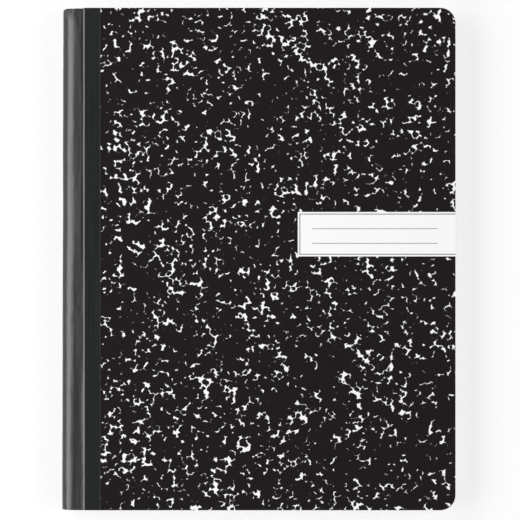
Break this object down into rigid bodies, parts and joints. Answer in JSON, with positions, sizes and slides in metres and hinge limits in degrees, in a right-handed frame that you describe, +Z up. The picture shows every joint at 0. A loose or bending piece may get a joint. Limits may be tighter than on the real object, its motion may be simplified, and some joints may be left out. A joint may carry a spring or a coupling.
{
  "type": "composition notebook",
  "caption": "Sewn composition notebook with black-and-white marbled board covers, a black spine tape, rounded fore corners and a blank cover label panel",
  "frame": {"origin": "middle of the underside of the closed book, on the plane it lies on", "axes": "+X from the spine to the fore edge, +Y from the tail to the head, +Z up through the front cover"},
  "size_m": [0.1932, 0.2476, 0.0125],
  "materials": {
    "leaf_paper": "matte uncoated, ruled",
    "endpaper": "matte uncoated",
    "marbled_paper": "satin varnished print, white marbling on black",
    "greyboard": "matte pulp board",
    "binding_tape": "low-sheen coated cloth paper",
    "thread": "twisted cotton"
  },
  "bodies": {
    "pages": {"page_block": "leaf_paper", "sewing_thread": "thread", "spine_tape": "binding_tape"},
    "front_cover": {"front_board": "greyboard", "front_cover_paper": "marbled_paper", "front_endpaper": "endpaper", "front_tape_flap": "binding_tape"},
    "back_cover": {"back_board": "greyboard", "back_cover_paper": "marbled_paper", "back_endpaper": "endpaper", "back_tape_flap": "binding_tape"}
  },
  "joints": [
    {"name": "front_cover_hinge", "type": "hinge", "parent": "pages", "child": "front_cover", "pos_m": [-0.08795, 0, 0.01229], "axis": [0, -1, 0], "range_deg": [0, 180]},
    {"name": "back_cover_hinge", "type": "hinge", "parent": "pages", "child": "back_cover", "pos_m": [-0.08795, 0, 0.00025], "axis": [0, 1, 0], "range_deg": [0, 180]}
  ]
}
